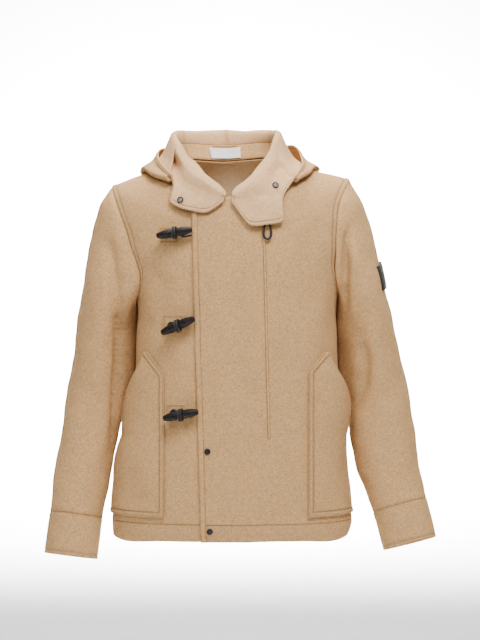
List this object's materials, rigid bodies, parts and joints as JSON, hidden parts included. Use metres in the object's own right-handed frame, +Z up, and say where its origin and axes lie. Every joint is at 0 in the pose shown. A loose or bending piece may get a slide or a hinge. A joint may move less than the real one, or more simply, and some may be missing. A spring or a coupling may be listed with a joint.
{
  "type": "hooded toggle parka",
  "caption": "Hooded boiled-wool parka, worn form with no wearer: open hem, neck and cuffs, covered front zip, horn toggles and large patch pockets; the hood lies back.",
  "frame": {"origin": "between the shoulders, where the neck line meets the shoulder ridge; the wearer's shoulders hold the garment up there", "axes": "+Z up, the front faces -Y, +X towards the wearer's left"},
  "size_m": [0.7396, 0.3607, 0.8283],
  "materials": {
    "wool": "camel boiled wool, felted, softly mottled",
    "horn": "polished black horn",
    "cord": "black waxed braided cord",
    "dark_patch": "dark brown felt, edge-stitched, plain",
    "label_tape": "off-white woven tape, blank",
    "black_snap": "black lacquered snap cap",
    "collar_snap": "blackened metal snap socket"
  },
  "bodies": {
    "root": {"back": "wool", "collar_snap_left": "collar_snap", "collar_snap_right": "collar_snap", "cuff_left": "wool", "cuff_right": "wool", "front_edge": "wool", "front_left": "wool", "front_right": "wool", "hanger_loop": "wool", "hem_back": "wool", "hem_front_left": "wool", "hem_front_right": "wool", "hood_middle_left": "wool", "hood_middle_right": "wool", "hood_side_left": "wool", "hood_side_right": "wool", "neck_band": "wool", "neck_label": "label_tape", "pocket_left": "wool", "pocket_right": "wool", "sleeve_left": "wool", "sleeve_patch": "dark_patch", "sleeve_right": "wool", "snap_1": "black_snap", "snap_2": "black_snap", "toggle_1": "horn", "toggle_2": "horn", "toggle_3": "horn", "toggle_cord_1": "cord", "toggle_cord_2": "cord", "toggle_cord_3": "cord", "toggle_patch_1": "wool", "toggle_patch_2": "wool", "toggle_patch_3": "wool", "zip_pull": "cord", "zip_welt": "wool"}
  },
  "joints": []
}
